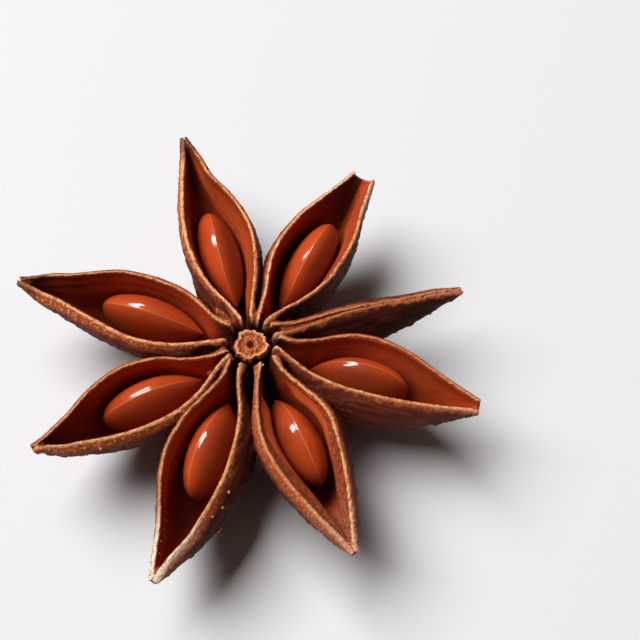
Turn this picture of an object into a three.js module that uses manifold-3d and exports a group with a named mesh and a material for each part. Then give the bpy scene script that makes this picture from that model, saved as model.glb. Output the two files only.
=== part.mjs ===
// A dried star anise pod: eight boat-shaped carpels joined to a central column, with seven seeds in
// their open hollows. Millimetres, +Z up. The pod lies on its keels with its openings upwards, and
// the origin is on the column's axis, in the plane that the pod rests on.

import * as THREE from "three";
import { mergeVertices } from "three/addons/utils/BufferGeometryUtils.js";
import Module from "manifold-3d";

// ---- Driving dimensions ----

const HUB_HEIGHT = 6.45; // the rims at the column, above the resting plane
const LARGE = 60; // a cutting block, larger than the pod

// Carpels, seen from above. Left is anticlockwise.
const RIM_START = 1.6; // where the two lips begin, from the axis
const BODY_START = 0.4; // the buried inner end of a carpel
const KNUCKLE_LENGTH = 0.4; // over which the lips rise out of the groove round the column
const GROOVE_DEPTH = 1.5;
const NECK_HALF_WIDTH = 0.45; // of the pair of lips where they begin
const RIM_CREST = 0.3; // how far the rims arch up in the middle of their length
const RISE_POWER = 1.4; // how slowly the boat widens from the column
const TAPER_DELAY = 1.5; // how long it stays wide past its widest place
const TAPER_POWER = 1.05; // and how it then narrows to its beak
const NECK_POWER = 3; // how soon the lips part from each other at the column
const BEAK_POWER = 3; // how late the beak rises and the walls lose their bulge
const KEEL_DEPTH = 7.1; // of the deepest carpel below its rims, before the flat is cut
const BEAK_DEPTH = 0.9;
const KEEL_POWER = 2.7;
const KEEL_ROUND = 0.82;
const HEEL_SHARE = 0.16; // how much shallower the keel is at the column
const HEEL_POWER = 8;
const WALL_POWER = 1.24; // roundness of the walls' section
const BULGE_POWER = 0.8; // under 1 the walls bulge most above the middle of their height
const BULGE_RUN = 0.32; // share of the length over which the walls come to bulge
const WRINKLE = 0.09; // relief of the lengthwise wrinkles
const WRINKLE_RUN = 0.2; // share of the length over which they grow
const WRINKLE_WAVES = 9; // radians of wave in each radian round a wall
const WRINKLE_DRIFT = 3; // how far the wrinkles wander up and down, in radians of wave
const WRINKLE_BENDS = 5; // radians of that wandering along the carpel
const LIP_OUT = 0.28; // from the crest of a lip to its outer edge
const LIP_IN = 0.36; // from the crest to its inner edge
const LIP_OUT_DROP = 0.18;
const LIP_IN_DROP = 0.3;
const WALL = 0.5; // thickness of the walls below the lips
const FLOOR = 0.85; // thickness of the keel under the hollow
const HOLLOW_POWER = 0.8; // roundness of the hollow's section
const HOLLOW_START = 0.8; // from the start of the lips to where the hollow begins to deepen
const HOLLOW_RUN = 2; // over which it reaches its depth
const HOLLOW_RISE = 0.7; // share of the length where its floor begins to rise to the beak
const HOLLOW_CLOSE = 1.05; // share where the floor would come up to the lips
const HOLLOW_END = 0.18; // depth of the slit between the lips at both ends

// Each carpel: azimuth and bend of its axis, length from the column's axis, half the opening's
// greatest width with its sideways lean, where along the length that width lies, half the gap left
// between the lips at the beak, height of the beak over the column's rims, how far the walls bulge
// out beyond the lips, and further on a shut carpel, share of the keel's full depth, and how far the
// keel swings sideways from under the opening.
const CARPELS = [
  {
    azimuth: 105, length: 18, half: 2.3, lean: 0.2, peak: 0.47, bend: 0.9,
    gape: 0.09, lift: 0.9, belly: 0.85, shut: 0, deep: 1, swing: -0.8,
  },
  {
    azimuth: 63, length: 16.2, half: 2.25, lean: -0.15, peak: 0.5, bend: -0.65,
    gape: 0.8, lift: 0.3, belly: 0.9, shut: 0, deep: 0.99, swing: 0,
  },
  {
    azimuth: 22, length: 15.3, half: 0.2, lean: -0.15, peak: 0.55, bend: -1.4,
    gape: 0.2, lift: 0, belly: 0.5, shut: 0.6, deep: 0.64, swing: -1.6,
  },
  {
    azimuth: -12.5, length: 16.1, half: 2.05, lean: 0.07, peak: 0.46, bend: -1.4,
    gape: 0.37, lift: 0.2, belly: 0.95, shut: 0, deep: 1, swing: -0.9,
  },
  {
    azimuth: -61, length: 16.5, half: 2.35, lean: -0.45, peak: 0.42, bend: -1.2,
    gape: 0.27, lift: 0, belly: 0.7, shut: 0, deep: 0.99, swing: 0.6,
  },
  {
    azimuth: -113, length: 17.7, half: 2.15, lean: 0.35, peak: 0.47, bend: 1.3,
    gape: 0.11, lift: -0.4, belly: 0.9, shut: 0, deep: 1, swing: 1,
  },
  {
    azimuth: -147, length: 16.2, half: 2.3, lean: -0.9, peak: 0.46, bend: -1,
    gape: 0.1, lift: 0.2, belly: 0.85, shut: 0, deep: 0.99, swing: -0.7,
  },
  {
    azimuth: -199, length: 17.2, half: 2.4, lean: -0.35, peak: 0.43, bend: 0.45,
    gape: 0.1, lift: 0.4, belly: 0.75, shut: 0, deep: 1, swing: -1.4,
  },
];

// Each seed lies along its hollow: its carpel, distance of its middle from the column's axis, shift
// to the left of the hollow's middle, length, width, roll about its length in degrees, and depth of
// its ridge below the rims.
const SEED_HEIGHT = 3.8;
const SEED_BLUNT = 0.5; // 0.5 rounds the outer end as an ellipse
const SEED_POINT = 0.12; // how much sharper the end towards the column is
const SEED_SWELL = 0.08; // how much thicker the outer half is
const SEED_RIDGE = 0.1; // share of half the height that the ridge stands up
const SEED_BEARING = 0.3; // shares of the length either side where a seed follows its hollow
const SEEDS = [
  { carpel: 0, at: 8.7, side: 0.1, length: 8.4, width: 2.9, roll: 6, sink: 0.7 },
  { carpel: 1, at: 8.5, side: 0, length: 8, width: 3, roll: 0, sink: 0.7 },
  { carpel: 3, at: 7.8, side: 0.05, length: 7.4, width: 3, roll: 12, sink: 0.6 },
  { carpel: 4, at: 7.4, side: 0, length: 7.4, width: 3.2, roll: 4, sink: 0.7 },
  { carpel: 5, at: 7.9, side: 0, length: 7.4, width: 3.1, roll: -10, sink: 0.65 },
  { carpel: 6, at: 7.6, side: 0, length: 7.3, width: 3.2, roll: 6, sink: 0.6 },
  { carpel: 7, at: 7.9, side: 0, length: 8, width: 3, roll: 10, sink: 0.6 },
];

// Central column.
const COLUMN_RADIUS = 1.3;
const COLUMN_LOBES = 8;
const COLUMN_LOBE_RELIEF = 0.12;
const COLUMN_LOBE_TURN = 57; // degrees
const COLUMN_TOP = 0.1; // of its face over the rims' ends
const COLUMN_EDGE_WIDTH = 0.12; // of the rounded edge of that face
const COLUMN_EDGE_HEIGHT = 0.25;
const COLUMN_DEPTH = 5.2;
const CORE_RADIUS = 2.8; // where the column widens below and the carpels grow together
const CORE_DEPTH = 3.4;
const CORE_TAPER = 0.6; // how much narrower the core is at its foot
const PIT_RADIUS = 0.32;
const PIT_DEPTH = 0.5;

// Scar of the stalk underneath, on which the pod also rests.
const STALK_RADIUS = 1.15;
const STALK_FLARE = 0.5; // how much wider the scar is where it joins the column
const STALK_STRAIGHT = 1 / 3; // share of its height before it flares
const STALK_SINK = 0.5; // how far it runs on up into the column
const STALK_SPARE = 1; // cut off below the resting plane

// Facets.
const STATIONS = 20;
const STATION_EASE = 0.09; // how much closer the stations lie at both ends
const WALL_STEPS = 7;
const HOLLOW_STEPS = 5;
const SEED_STATIONS = 9;
const SEED_SIDES = 16;
const COLUMN_SIDES = 24;
const WELD = 1e-4; // points this close are one
const CLEAN = 0.01; // slivers that joining leaves, down to this size, are smoothed away

// ---- Helpers ----

const DEGREE = Math.PI / 180;

function smooth(low, high, x) {
  const t = Math.min(Math.max((x - low) / (high - low), 0), 1);
  return t * t * (3 - 2 * t);
}

// A closed surface through flat rings of equal length, which run anticlockwise seen from the last
// ring's side. Lid holds the triangles that close a ring, also anticlockwise.
function loft(rings, lid) {
  const count = rings[0].length;
  const faces = [];
  for (let i = 0; i < rings.length - 1; i++) {
    for (let j = 0; j < count; j++) {
      const a = i * count + j;
      const b = i * count + ((j + 1) % count);
      faces.push(a, b, b + count, a, b + count, a + count);
    }
  }
  const end = (rings.length - 1) * count;
  for (const [a, b, c] of lid) faces.push(a, c, b, end + a, end + b, end + c);
  const geometry = new THREE.BufferGeometry().setFromPoints(rings.flat());
  geometry.setIndex(faces);
  return geometry;
}

// The lid of a ring that bulges out everywhere.
function fanLid(count) {
  const lid = [];
  for (let j = 1; j < count - 1; j++) lid.push([0, j, j + 1]);
  return lid;
}

// ---- Carpel ----

// 0 at the column, 1 where the carpel is widest, 0 at the beak.
function widthShare(carpel, s) {
  if (s < carpel.peak) return Math.sin((Math.PI / 2) * (s / carpel.peak)) ** RISE_POWER;
  const past = (s - carpel.peak) / (1 - carpel.peak);
  return (1 - past ** TAPER_DELAY) ** TAPER_POWER;
}

// The sizes of a carpel's section at a distance from the column's axis.
function sizesAt(carpel, along) {
  const s = Math.max((along - RIM_START) / (carpel.length - RIM_START), 0);
  const share = widthShare(carpel, s);
  const neck = NECK_HALF_WIDTH * (1 - s) ** NECK_POWER;
  const half = carpel.half * share + neck + carpel.gape * s * s;
  const heel = 1 - HEEL_SHARE * (1 - s) ** HEEL_POWER;
  const keel = (1 - s ** KEEL_POWER) ** KEEL_ROUND;
  const groove = 1 - smooth(RIM_START - KNUCKLE_LENGTH, RIM_START + KNUCKLE_LENGTH, along);
  const crest = RIM_CREST * 4 * s * (1 - s);
  const depth = carpel.deep * (BEAK_DEPTH + (KEEL_DEPTH - BEAK_DEPTH) * keel) * heel;
  const opened = RIM_START + HOLLOW_START;
  const deepening = smooth(opened, opened + HOLLOW_RUN, along);
  const closing = smooth(HOLLOW_RISE, HOLLOW_CLOSE, s);
  const room = Math.max(depth - FLOOR - HOLLOW_END, 0);
  return {
    s,
    half,
    lip: Math.min(1, half / (LIP_IN + LIP_OUT)),
    middle: carpel.bend * (2 * s * s - s) + carpel.lean * share,
    rim: carpel.lift * s ** BEAK_POWER + crest - GROOVE_DEPTH * groove,
    depth,
    swing: (carpel.swing * share) / KEEL_DEPTH,
    belly: carpel.belly * smooth(0, BULGE_RUN, s) * (1 - s ** BEAK_POWER) + carpel.shut * share,
    wrinkle: WRINKLE * smooth(0, WRINKLE_RUN, s),
    drift: WRINKLE_DRIFT * Math.sin(WRINKLE_BENDS * s),
    hollow: HOLLOW_END + room * deepening * (1 - closing),
  };
}

// Half of the closed section, from the lip's crest down the outside to the keel, then up the inside.
function halfSection(z) {
  const outerTop = z.half + LIP_OUT * z.lip;
  const outerDrop = LIP_OUT_DROP * z.lip;
  const outside = [];
  for (let k = 0; k <= WALL_STEPS; k++) {
    const angle = ((Math.PI / 2) * k) / WALL_STEPS;
    const down = Math.sin(angle);
    const wave = Math.sin(WRINKLE_WAVES * angle + z.drift) * Math.sin(2 * angle);
    const bulge = z.belly * Math.sin(Math.PI * down ** BULGE_POWER) + z.wrinkle * wave;
    outside.push([
      outerTop * Math.cos(angle) ** WALL_POWER + bulge,
      z.rim - outerDrop - (z.depth - outerDrop) * down,
    ]);
  }
  const innerTop = z.half - LIP_IN * z.lip;
  const innerDrop = LIP_IN_DROP * z.lip;
  const innerBelly = Math.max(z.belly - WALL, 0);
  const inside = [];
  for (let k = 0; k <= HOLLOW_STEPS; k++) {
    const angle = ((Math.PI / 2) * k) / HOLLOW_STEPS;
    const down = Math.sin(angle);
    const bulge = innerBelly * Math.sin(Math.PI * down ** BULGE_POWER);
    inside.push([
      innerTop * Math.cos(angle) ** HOLLOW_POWER + bulge,
      z.rim - innerDrop - z.hollow * down,
    ]);
  }
  return { crest: [z.half, z.rim], outside, inside };
}

// The closed section, anticlockwise seen from the beak.
function sectionAt(carpel, along) {
  const z = sizesAt(carpel, along);
  const { crest, outside, inside } = halfSection(z);
  const mirror = ([v, h]) => [-v, h];
  const loop = [
    crest,
    ...inside,
    ...inside.slice(0, -1).reverse().map(mirror),
    mirror(crest),
    ...outside.map(mirror),
    ...outside.slice(0, -1).reverse(),
  ];
  return loop.map(
    ([v, h]) => new THREE.Vector3(along, z.middle + v + z.swing * (z.rim - h), HUB_HEIGHT + h),
  );
}

// Triangles between the inside and the outside of half a section, which part at the crest.
function halfLid(inside, outside) {
  const faces = [[inside[0], inside[1], outside[1]]];
  let i = 1;
  let j = 1;
  while (i < inside.length - 1 || j < outside.length - 1) {
    if (i * (outside.length - 1) <= j * (inside.length - 1)) {
      faces.push([inside[i], inside[i + 1], outside[j]]);
      i++;
    } else {
      faces.push([outside[j + 1], outside[j], inside[i]]);
      j++;
    }
  }
  return faces;
}

// The lid of a carpel's section, by the order of the points in its loop.
function sectionLid() {
  const count = 2 * (HOLLOW_STEPS + WALL_STEPS) + 4;
  const crest = 2 * HOLLOW_STEPS + 2; // of the mirrored half
  const inside = [];
  const mirroredInside = [];
  for (let k = 0; k <= HOLLOW_STEPS + 1; k++) {
    inside.push(k);
    mirroredInside.push(crest - k);
  }
  const outside = [];
  const mirroredOutside = [];
  for (let k = 0; k <= WALL_STEPS + 1; k++) {
    outside.push((count - k) % count);
    mirroredOutside.push(crest + k);
  }
  const mirrored = halfLid(mirroredInside, mirroredOutside).map(([a, b, c]) => [a, c, b]);
  return [...halfLid(inside, outside), ...mirrored];
}

function carpelGeometry(carpel) {
  const rings = [];
  for (let i = 0; i <= STATIONS; i++) {
    const share = i / STATIONS;
    const eased = share - STATION_EASE * Math.sin(2 * Math.PI * share);
    rings.push(sectionAt(carpel, BODY_START + (carpel.length - BODY_START) * eased));
  }
  return loft(rings, sectionLid()).rotateZ(carpel.azimuth * DEGREE);
}

// ---- Column and stalk scar ----

function turned(profile, lobes) {
  const rings = profile.map(([radius, height]) => {
    const ring = [];
    for (let j = 0; j < COLUMN_SIDES; j++) {
      const angle = (2 * Math.PI * j) / COLUMN_SIDES;
      const lobe = Math.cos(COLUMN_LOBES * angle + COLUMN_LOBE_TURN * DEGREE);
      const out = radius * (1 + lobes * lobe);
      ring.push(new THREE.Vector3(out * Math.cos(angle), out * Math.sin(angle), height));
    }
    return ring;
  });
  return loft(rings, fanLid(COLUMN_SIDES));
}

function columnGeometry() {
  const top = HUB_HEIGHT + COLUMN_TOP;
  return turned(
    [
      [CORE_RADIUS - CORE_TAPER, HUB_HEIGHT - COLUMN_DEPTH],
      [CORE_RADIUS, HUB_HEIGHT - CORE_DEPTH],
      [COLUMN_RADIUS, HUB_HEIGHT - GROOVE_DEPTH],
      [COLUMN_RADIUS, top - COLUMN_EDGE_HEIGHT],
      [COLUMN_RADIUS - COLUMN_EDGE_WIDTH, top],
      [PIT_RADIUS, top],
      [PIT_RADIUS / 2, top - PIT_DEPTH],
    ],
    COLUMN_LOBE_RELIEF,
  );
}

function stalkGeometry() {
  const joined = HUB_HEIGHT - COLUMN_DEPTH + STALK_SINK;
  return turned(
    [
      [STALK_RADIUS, -STALK_SPARE],
      [STALK_RADIUS, joined * STALK_STRAIGHT],
      [STALK_RADIUS + STALK_FLARE, joined],
    ],
    0,
  );
}

// ---- Seeds ----

// A flattened egg with a sharp ridge along its top, pointed towards the column.
function seedGeometry(seed) {
  const rings = [];
  for (let i = 1; i < SEED_STATIONS; i++) {
    const x = -Math.cos((Math.PI * i) / SEED_STATIONS);
    const girth = (1 - x * x) ** (SEED_BLUNT + SEED_POINT * (1 - x)) * (1 + SEED_SWELL * x);
    const ring = [];
    for (let j = 0; j < SEED_SIDES; j++) {
      const angle = (2 * Math.PI * j) / SEED_SIDES;
      const up = Math.cos(angle);
      const ridge = up > 0 ? SEED_RIDGE * (1 - Math.abs(Math.sin(angle))) ** 2 : 0;
      ring.push(
        new THREE.Vector3(
          (seed.length / 2) * x,
          (-seed.width / 2) * girth * Math.sin(angle),
          (SEED_HEIGHT / 2) * girth * (up + ridge),
        ),
      );
    }
    rings.push(ring);
  }
  return loft(rings, fanLid(SEED_SIDES));
}

// ---- Assembly ----

const wasm = await Module();
wasm.setup();

function solid(geometry) {
  const bare = geometry.clone();
  bare.deleteAttribute("normal");
  bare.deleteAttribute("uv");
  const merged = mergeVertices(bare, WELD);
  return new wasm.Manifold(
    new wasm.Mesh({
      numProp: 3,
      vertProperties: merged.getAttribute("position").array,
      triVerts: new Uint32Array(merged.getIndex().array),
    }),
  );
}

function geometryOf(manifold) {
  const mesh = manifold.getMesh();
  const geometry = new THREE.BufferGeometry();
  geometry.setAttribute("position", new THREE.BufferAttribute(mesh.vertProperties, 3));
  geometry.setIndex(new THREE.BufferAttribute(mesh.triVerts, 1));
  return geometry;
}

function huskGeometry() {
  let husk = solid(columnGeometry()).add(solid(stalkGeometry()));
  for (const carpel of CARPELS) husk = husk.add(solid(carpelGeometry(carpel)));
  const below = new THREE.BoxGeometry(LARGE, LARGE, LARGE).translate(0, 0, -LARGE / 2);
  return geometryOf(husk.subtract(solid(below)).simplify(CLEAN));
}

const huskMaterial = new THREE.MeshStandardMaterial({ color: 0x7a3a20, roughness: 0.75 });
const seedMaterial = new THREE.MeshStandardMaterial({ color: 0xa8401c, roughness: 0.25 });

const pod = new THREE.Group();

const husk = new THREE.Mesh(huskGeometry(), huskMaterial);
husk.name = "husk";
pod.add(husk);

SEEDS.forEach((seed, index) => {
  const carpel = CARPELS[seed.carpel];
  const below = seed.sink + SEED_HEIGHT / 2;
  const reach = SEED_BEARING * seed.length;
  const middleAt = (along) => {
    const z = sizesAt(carpel, along);
    return z.middle + z.swing * below;
  };
  const inner = middleAt(seed.at - reach);
  const outer = middleAt(seed.at + reach);
  const turn = Math.atan2(outer - inner, 2 * reach);
  const mesh = new THREE.Mesh(seedGeometry(seed), seedMaterial);
  mesh.name = `seed_${index + 1}`;
  mesh.position.set(
    seed.at,
    (outer + inner) / 2 + seed.side,
    HUB_HEIGHT + sizesAt(carpel, seed.at).rim - below,
  );
  mesh.rotation.set(-seed.roll * DEGREE, 0, turn, "ZYX");
  const arm = new THREE.Group();
  arm.rotation.z = carpel.azimuth * DEGREE;
  arm.add(mesh);
  pod.add(arm);
});

export default pod;
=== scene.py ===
"""A dried star anise pod: eight woody carpels round a central column, with seven glossy seeds."""

import math
from collections import namedtuple
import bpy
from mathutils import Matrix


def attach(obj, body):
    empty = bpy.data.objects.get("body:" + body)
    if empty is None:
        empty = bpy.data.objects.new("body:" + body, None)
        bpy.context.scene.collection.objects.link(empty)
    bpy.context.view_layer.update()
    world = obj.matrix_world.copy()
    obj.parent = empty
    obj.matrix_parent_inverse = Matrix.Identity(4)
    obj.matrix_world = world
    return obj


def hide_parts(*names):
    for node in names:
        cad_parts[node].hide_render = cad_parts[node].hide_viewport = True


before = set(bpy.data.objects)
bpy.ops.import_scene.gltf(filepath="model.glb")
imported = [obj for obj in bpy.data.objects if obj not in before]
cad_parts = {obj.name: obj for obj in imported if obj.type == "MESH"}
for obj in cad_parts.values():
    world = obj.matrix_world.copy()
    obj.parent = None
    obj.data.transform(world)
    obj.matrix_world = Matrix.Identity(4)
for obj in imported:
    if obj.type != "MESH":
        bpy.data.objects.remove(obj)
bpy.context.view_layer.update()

from types import SimpleNamespace

import bpy
import numpy as np
from bpy.props import FloatProperty, FloatVectorProperty, IntProperty, PointerProperty
from mathutils import Matrix, Vector

bl_info = {
    "name": "Star anise pod",
    "version": (1, 0, 0),
    "blender": (4, 5, 0),
    "location": "3D View > Sidebar > Anise",
    "description": "Builds a dried star anise pod with its seeds, and a plain stage",
    "category": "Add Mesh",
}

MM = 0.001  # sizes below are in millimetres, as the solids' are

# ---- The pod's shape, as in the solids ----

HUB_HEIGHT = 6.45  # the rims at the column, above the resting plane
RIM_START = 1.6
BODY_START = 0.4
KNUCKLE_AT = 1.66  # from the axis, where the lips' ends bend down at the column
KNUCKLE_ROUND = 0.55  # length of that bend
KNUCKLE_RISE = 0.5  # of the lips at the column
KNUCKLE_RUN = 0.25  # share of the length over which they come down again
KNUCKLE_SWELL = 1.1  # further share of the lip's width
KNUCKLE_REACH = 0.06  # share of the length
GROOVE_DEPTH = 2
NECK_HALF_WIDTH = 0.45
RIM_CREST = 0.3
RISE_POWER = 1.4
TAPER_DELAY = 1.5
TAPER_POWER = 1.05
NECK_POWER = 3
BEAK_POWER = 3
KEEL_DEPTH = 7.1
BEAK_DEPTH = 0.9
KEEL_POWER = 2.7
KEEL_ROUND = 0.82
HEEL_SHARE = 0.16
HEEL_POWER = 8
WALL_POWER = 1.24
BULGE_POWER = 0.8
BULGE_RUN = 0.32
LIP_OUT = 0.24
BRIM = 1.15  # share of that width which the outside of the wall has
LIP_IN = 0.18
LIP_OUT_DROP = 0.18
LIP_IN_DROP = 0.2
WALL = 0.5
FLOOR = 0.7
HOLLOW_BULGE = 0.5
SUNK_ALONG = (1.45, 1.72)  # where a carpel's end falls into the painted shade of the ring round the column and how far down the column's side that painted shade comes
SUNK_BELOW = (0.6, 1.2)  # and how far down the column's side does
FOOT_SPREAD = (0.15, 0.12)  # share of the length at its middle, and width
PATCH = 5  # width of the torn patch on a swollen foot
PATCH_SPREAD = (0.07, 0.05)  # as the foot's
PATCH_BELOW = (0.8, 1.2)  # the crest
LEDGE_AT = 0.75  # below the lip
LEDGE_UNDERCUT = 0.35
LEDGE_START = (0.1, 0.25)  # shares of the length
SHOULDER_RISE = 0.06  # share of the wall's height, down from the lip
SHOULDER_FALL = (0.12, 0.7)
SHOULDER_START = (0.05, 0.2)  # shares of the length
SHOULDER_END = (0.85, 1)
SHOULDER_LOSS = 0.6  # at that end
SLANT_DEPTH = 2.2  # at which a wall has slanted all the way
SLANT_POWER = 0.3
SLANT_START = 0.12
LEAST_HALF = 0.06
HOLLOW_START = -0.4
HOLLOW_RUN = 1
HOLLOW_RISE = 0.2  # along the carpel, before its hollow has closed
HOLLOW_GROOVE = 0.2  # share of the depth left beyond that
HOLLOW_END = 0.12
KNUCKLE_LIGHT = 0.8  # least light of a crest at the column, where its paleness is partly a painted highlight
KNUCKLE_END = (0.02, 0.1)
PALE_FROM = (0.68, 0.92)  # shares of the length, as the next ones are
DARK_FROM = (0.86, 0.97)
TIP_SUNK = 0.9  # share of the darkest outer colour on a dark tip
# Painted shade in the hollows: towards a hollow's far end, at the column's neck and round a seed's
# outer end.
PAINTED_SHADE_FROM = (0.55, 0.95)
NECK_PAINTED_SHADE = 0.9
NECK_END = (0.02, 0.12)
LIT_SLANT = 0.7  # of a wall that lies full in the light
DEEP_PAINTED_SHADE = 0.72  # painted shade of a hollow's floor, round the seed's outer end
DEEP_BELOW = (1, 2.8)  # the crest
DEEP_SPREAD = (0.66, 0.2)
SEAL_RUN = 0.04  # in which the lips grow together
SEAL_SHARE = 0.98

COLUMN_RADIUS = 1.23
COLUMN_WAVES = [(8, 0.035, 1), (3, 0.05, 0.4), (5, 0.045, 2.1), (13, 0.03, 0.7), (21, 0.02, 1.9)]
COLUMN_BAND = 1.2  # of torn grain, down from its rim
COLUMN_LIGHT = 0.9
COLUMN_TOP = 0.1
COLUMN_EDGE_WIDTH = 0.12
COLUMN_EDGE_HEIGHT = 0.25
# Points inside the rim: share of the radius, or of the pit's own, share of the edge's height below
# the top, and the distance from a crest that the skin counts there.
COLUMN_DISH = [(0.76, 0.2, 0.2), (0.6, 0.7, 0.6)]
PIT_EDGE = [(2, 0.25, 0.2), (1.4, 0.5, 0.4), (1, 1, 0.7)]
UNTORN = 2  # distance from a crest at which no torn grain is left
COLUMN_DEPTH = 5.2
CORE_RADIUS = 2.8
CORE_DEPTH = 3.4
CORE_TAPER = 0.6
PIT_RADIUS = 0.22
PIT_DEPTH = 0.22
STALK_RADIUS = 1.15
STALK_FLARE = 0.5
STALK_STRAIGHT = 1 / 3
STALK_SINK = 0.5
STALK_WAVES = [(3, 0.06, 0.9), (7, 0.04, 2)]

SEED_HEIGHT = 3.8
SEED_BLUNT = 0.5
SEED_POINT = 0.19
SEED_SWELL = 0.14
SEED_RIDGE = 0.025
SEED_BEARING = 0.3

# Azimuth of the axis, length from the column's axis, half the opening's greatest width with its
# sideways lean, where that width lies, the axis's bend, half the gap at the beak, the beak's lift,
# the walls' bulge, the further bulge of a shut carpel, share of the full depth and the keel's
# sideways swing; then how pale the beak is, or dark below 0, how dark the outside is (partly
# painted shade on carpels turned from the light), how strong the painted shade in the hollow's far
# end is, and the shares of the length where the hollow has closed and from which the lips have
# grown together, over 1 where they haven't.
Carpel = namedtuple(
    "Carpel",
    "azimuth length half lean peak bend gape lift belly shut deep swing pale dark gloom close seal",
)
CARPELS = [
    Carpel(105, 18, 2.3, 0.2, 0.47, 0.9, 0.06, 0.9, 0.85, 0, 1, -0.8,
           -0.7, 0.1, 0.9, 1.03, 0.93),
    Carpel(63, 16.2, 2.25, -0.15, 0.5, -0.65, 0.8, 0.3, 0.9, 0, 0.99, 0,
           0.3, 0.2, 0.95, 1.2, 1.2),
    Carpel(22, 15.3, 0.03, -0.15, 0.55, -1.4, 0.02, 0, 0.5, 0.6, 0.64, -1.6,
           0.05, 0.75, 0.8, 1.05, 0.02),
    Carpel(-12.5, 16.1, 2.05, 0.07, 0.46, -1.4, 0.37, 0.2, 0.95, 0, 1, -0.9,
           0.1, 0.05, 0, 1.2, 1.2),
    Carpel(-61, 16.5, 2.35, -0.45, 0.42, -1.2, 0.07, 0, 0.7, 0, 0.99, 0.6,
           0.2, 0.1, 0, 0.84, 0.93),
    Carpel(-113, 17.7, 2.15, 0.35, 0.47, 1.3, 0.08, -0.4, 0.9, 0, 1, 1,
           1, 0.6, 0.25, 1, 0.93),
    Carpel(-147, 16.2, 2.3, -0.9, 0.46, -1, 0.06, 0.2, 0.85, 0, 0.99, -0.7,
           -0.15, 0, 0.85, 1.03, 0.93),
    Carpel(-199, 17.2, 2.4, -0.35, 0.43, 0.45, 0.09, 0.4, 0.75, 0, 1, -1.4,
           -0.6, 0, 0.9, 1.03, 0.93),
]

# Each carpel's left lip and its right one, seen from the column: how far it wanders to the left at
# equal steps out to the beak; how wide its torn outer band is at the column, half way and at the
# beak; how far that band stands out as a shoulder; the share it has of its wall's bulge; how far a
# ledge stands out of its wall inside; how far that wall slants inwards; how light its crest is; how
# far its torn grain runs down inside at the column, half way and at the beak; and how far its wall
# swells at the foot, towards the next carpel's.
Lip = namedtuple(
    "Lip", "wander band shoulder bulge ledge slant light lining foot", defaults=[(0, 0, 0), 0]
)
LIPS = [
    Lip((-0.2, -0.05, 0.1, 0.1, -0.05, -0.05, 0, 0, -0.05, -0.1, -0.1),
        (0.2, 0.9, 2.2), 0.05, 0.6, 0.1, 0, 1, (0, 0.3, 0.5), 1),
    Lip((0, 0, 0, 0.05, 0.05, 0, 0, 0.15, 0.35, 0.05, -0.1),
        (0.3, 0.3, 0.3), 0, 0.3, 0, 0.72, 0.9),
    Lip((-0.1, -0.1, -0.2, -0.15, -0.15, -0.2, -0.15, -0.1, -0.2, -0.2, -0.1),
        (0.4, 0.4, 0.35), 0, 0.8, 0, 0, 1),
    Lip((0.3, 0.15, -0.05, -0.15, -0.1, 0.05, -0.05, -0.05, 0.05, 0, -0.05),
        (0.3, 0.3, 0.4), 0, 0.2, 0.1, 0.7, 0.8),
    Lip((0.35, -0.05, -0.1, -0.08, -0.1, -0.15, -0.22, -0.3, -0.2, -0.03, -0.05),
        (0.35, 0.3, 0.35), 0, 1, 0, 0, 0.5, (1, 1, 1)),
    Lip((0.35, 0, -0.05, -0.05, -0.06, -0.1, -0.18, -0.26, -0.2, -0.07, -0.05),
        (0.3, 0.25, 0.3), 0, 1, 0, 0, 0.3, (1, 1, 1)),
    Lip((0.3, -0.15, -0.3, -0.2, -0.15, -0.1, -0.05, -0.1, -0.2, -0.1, 0.1),
        (0.3, 0.25, 0.25), 0, 1, 0, 0.36, 0.4),
    Lip((0.45, 0, -0.2, -0.15, -0.05, -0.05, -0.15, -0.2, -0.2, -0.1, 0.05),
        (0.25, 0.35, 0.45), 0.1, 1, 0.1, 0, 0.7),
    Lip((0.4, 0, -0.05, 0, 0, -0.1, -0.1, -0.1, -0.1, -0.05, 0),
        (0.35, 0.4, 0.5), 0.1, 0.9, 0.7, 0.2, 0.8, (0.1, 0.7, 2.5)),
    Lip((0.3, -0.15, -0.15, -0.05, 0, -0.1, -0.2, -0.2, -0.2, -0.1, -0.05),
        (0.6, 1.2, 1.4), 0.1, 0.9, 0.9, 0, 0.5, (0.1, 0.8, 2.5)),
    Lip((-0.4, -0.25, 0, -0.05, -0.15, -0.05, 0.1, 0.2, 0.25, 0, -0.1),
        (0.3, 0.45, 0.8), 0.35, 0.9, 0, 0, 1),
    Lip((-0.3, 0.15, 0.15, 0.05, 0.05, 0, 0.05, 0.25, 0.35, 0.15, -0.1),
        (0.3, 0.3, 0.4), 0, 0.6, 0.15, 0, 0.7),
    Lip((-0.45, -0.25, 0.05, 0.2, 0.25, 0.25, 0.3, 0.25, 0.15, 0.1, -0.2),
        (0.4, 0.8, 1.1), 0.3, 0.3, 0, 0, 0.9),
    Lip((0.2, 0.35, 0.4, 0.2, 0.2, 0.05, -0.05, -0.05, 0.1, 0, -0.1),
        (0.3, 0.3, 0.3), 0, 0.7, 0.1, 0.22, 0.5),
    Lip((0, 0.3, 0.35, 0.3, 0.25, 0.2, 0.1, 0.05, 0, 0.15, 0.2),
        (0.4, 0.6, 1.1), 0.35, 0.7, 0, 0, 0.9),
    Lip((-0.2, 0, -0.05, 0.15, 0.3, 0.15, -0.05, 0.05, 0.15, 0, 0.15),
        (1, 0.25, 0.25), 0, 0.7, 0.1, 0.5, 0.6),
]
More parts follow.
